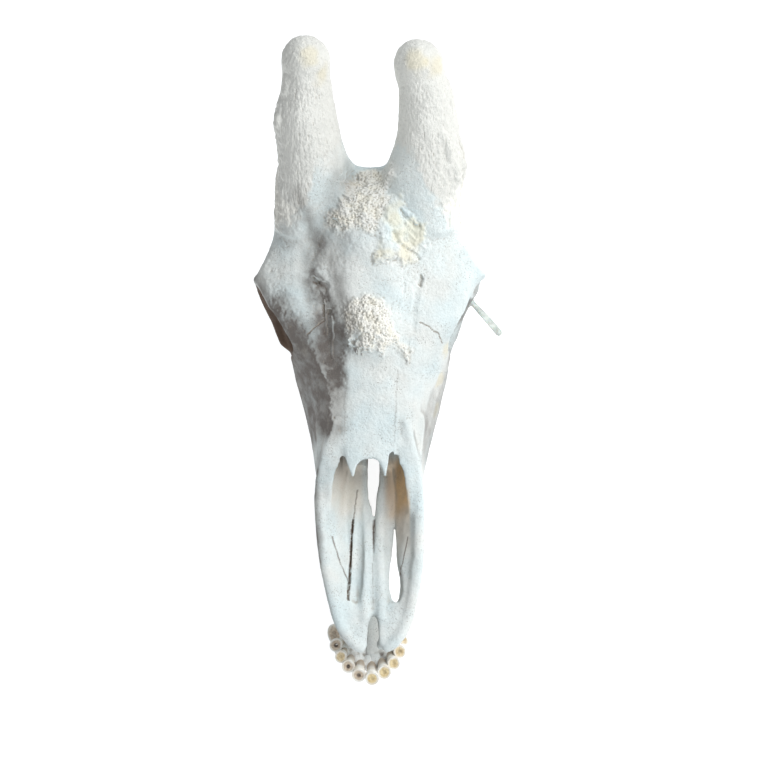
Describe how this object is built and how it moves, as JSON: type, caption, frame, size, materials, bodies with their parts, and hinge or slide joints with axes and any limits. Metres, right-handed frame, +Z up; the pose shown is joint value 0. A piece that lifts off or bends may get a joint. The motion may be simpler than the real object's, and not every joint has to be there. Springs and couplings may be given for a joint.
{
  "type": "giraffe skull",
  "caption": "Bleached giraffe skull resting on its lower jaw, with blunt ossicones, long open snout, cheek teeth and front teeth.",
  "frame": {"origin": "bottom centre of the whole, on the floor", "axes": "+Z up, the snout faces -Y, the animal's left side is +X"},
  "size_m": [0.3062, 0.6498, 0.4889],
  "materials": {
    "bone": "matt bleached bone",
    "horn_bone": "rough porous bone",
    "jaw_bone": "matt bone with worn enamel teeth",
    "nylon": "translucent natural nylon"
  },
  "bodies": {
    "root": {"cranium": "bone", "ossicone_left": "horn_bone", "ossicone_right": "horn_bone", "nasal_left": "bone", "nasal_right": "bone", "maxilla_left": "jaw_bone", "maxilla_right": "jaw_bone", "premaxilla_left": "bone", "premaxilla_right": "bone", "mandible_left": "jaw_bone", "mandible_right": "jaw_bone", "jaw_tie": "nylon"}
  },
  "joints": []
}
